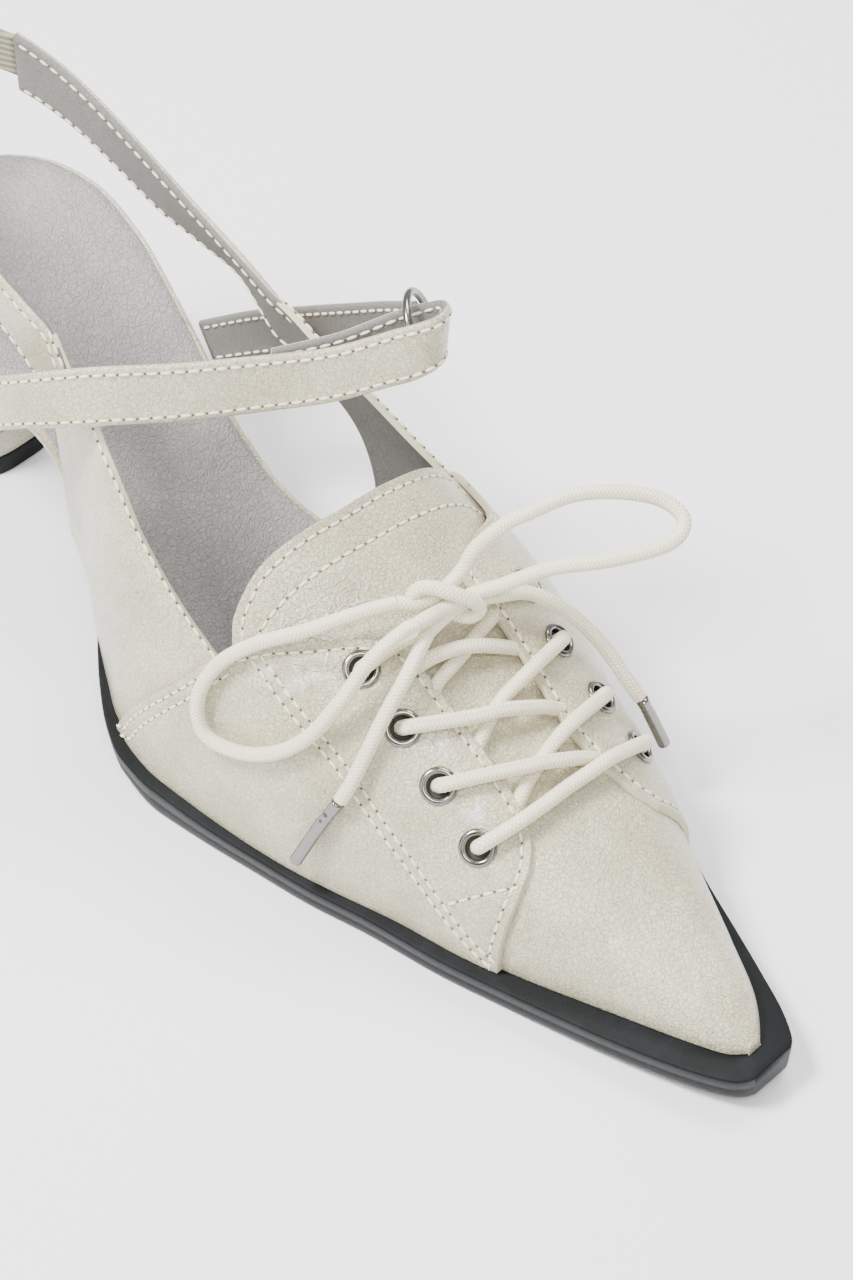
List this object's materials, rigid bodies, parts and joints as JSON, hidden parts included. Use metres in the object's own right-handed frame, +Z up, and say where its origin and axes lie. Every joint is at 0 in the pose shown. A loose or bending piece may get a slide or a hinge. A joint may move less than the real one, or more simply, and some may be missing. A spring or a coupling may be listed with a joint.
{
  "type": "lace up heel",
  "caption": "Left pointed lace-up slingback heel in cream crackle leather with a black welted sole, crossed ankle strap with ring and a cotton lace tied in a bow",
  "frame": {"origin": "centre of the shoe's box without the bow, on the ground under the tread and the heel", "axes": "+X from heel to toe, +Y to the wearer's left (outer side), +Z up"},
  "size_m": [0.245, 0.0881, 0.1003],
  "materials": {
    "upper_leather": "glazed crackle",
    "panel_leather": "glazed crackle",
    "tongue_leather": "glazed crackle",
    "sole_rubber": "satin",
    "insole_lining": "matte",
    "heel_cover_leather": "glazed",
    "heel_tip_rubber": "matte",
    "elastic_cloth": "ribbed",
    "lace_cotton": "braided waxed",
    "polished_metal": "polished"
  },
  "bodies": {
    "root": {"upper": "upper_leather", "tongue": "tongue_leather", "side_panel_inner": "panel_leather", "side_panel_outer": "panel_leather", "outsole": "sole_rubber", "insole": "insole_lining", "heel": "heel_cover_leather", "heel_top_piece": "heel_tip_rubber", "sling_strap_inner": "upper_leather", "sling_strap_outer": "upper_leather", "sling_elastic": "elastic_cloth", "ankle_strap_inner": "upper_leather", "ankle_strap_outer": "upper_leather", "strap_ring": "polished_metal", "eyelet_inner_1": "polished_metal", "eyelet_inner_2": "polished_metal", "eyelet_inner_3": "polished_metal", "eyelet_inner_4": "polished_metal", "eyelet_outer_1": "polished_metal", "eyelet_outer_2": "polished_metal", "eyelet_outer_3": "polished_metal", "eyelet_outer_4": "polished_metal", "lace_bar_front": "lace_cotton", "lace_cross_1": "lace_cotton", "lace_cross_2": "lace_cotton", "lace_cross_3": "lace_cotton", "lace_rise_inner": "lace_cotton", "lace_rise_outer": "lace_cotton", "lace_knot": "lace_cotton", "lace_loop_outer": "lace_cotton", "lace_loop_inner": "lace_cotton", "lace_end_inner": "lace_cotton", "lace_end_outer": "lace_cotton", "lace_tip_inner": "polished_metal", "lace_tip_outer": "polished_metal"}
  },
  "joints": []
}
